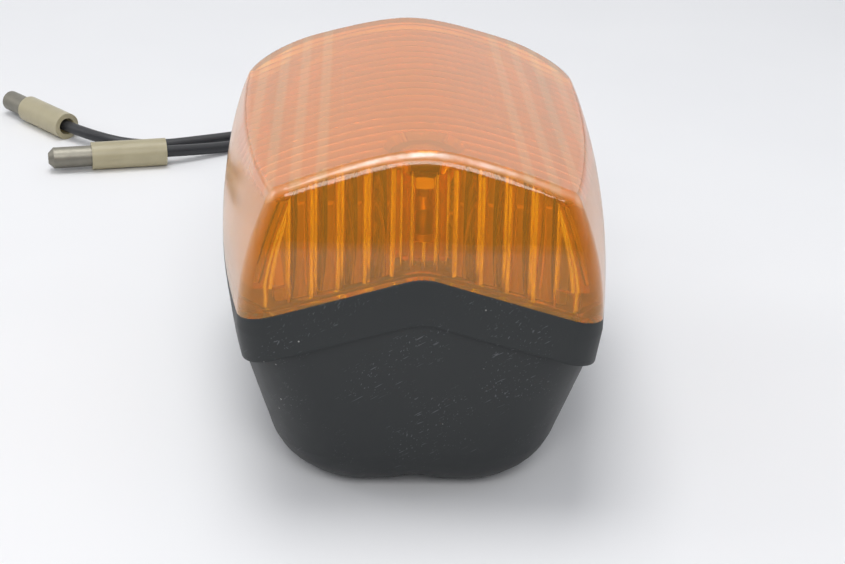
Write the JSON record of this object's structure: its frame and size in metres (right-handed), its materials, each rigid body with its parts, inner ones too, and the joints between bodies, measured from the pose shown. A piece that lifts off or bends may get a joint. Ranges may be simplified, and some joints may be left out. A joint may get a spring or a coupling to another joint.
{
  "type": "motorcycle indicator",
  "caption": "Motorcycle indicator: amber crowned lens on a black cup housing with a V-shaped rim, bayonet bulb inside, rubber stem on a hollow stud, leads with bullet terminals.",
  "frame": {"origin": "on the stud's axis in the plane of the stem's seat face", "axes": "+Y along the stud away from the lamp, +Z the way the lens faces, X across the lamp"},
  "size_m": [0.1063, 0.1567, 0.0468],
  "materials": {
    "housing_plastic": "moulded, fine grain",
    "amber_lens": "clear amber acrylic, polished outside",
    "black_rubber": "matt",
    "zinc_steel": "zinc plated",
    "bright_reflector": "bright metallised",
    "plated_brass": "dull nickel plated",
    "brown_phenolic": "pressed phenolic board",
    "brass": "drawn",
    "spring_steel": "drawn wire",
    "clear_glass": "blown",
    "tungsten": "drawn wire",
    "black_glass": "fused",
    "solder": "dull",
    "lead_pvc": "soft extruded",
    "sleeve_pvc": "aged clear, yellowed"
  },
  "bodies": {
    "root": {"housing": "housing_plastic", "lens": "amber_lens", "lens_gasket": "black_rubber", "lens_screw": "zinc_steel", "reflector": "bright_reflector", "reflector_screw_outer": "zinc_steel", "reflector_screw_inner": "zinc_steel", "socket_damper": "black_rubber", "socket_shell": "plated_brass", "contact_disc": "brown_phenolic", "centre_contact": "brass", "contact_spring": "spring_steel", "bulb_glass": "clear_glass", "bulb_filament": "tungsten", "bulb_cap": "plated_brass", "bulb_insulator": "black_glass", "bulb_contact": "solder", "stem": "black_rubber", "stem_core": "zinc_steel", "lead_grommet": "black_rubber", "live_lead_inner": "lead_pvc", "earth_lead_inner": "lead_pvc", "live_lead": "lead_pvc", "earth_lead": "lead_pvc", "live_bullet": "brass", "earth_bullet": "brass", "live_sleeve": "sleeve_pvc", "earth_sleeve": "sleeve_pvc"}
  },
  "joints": []
}
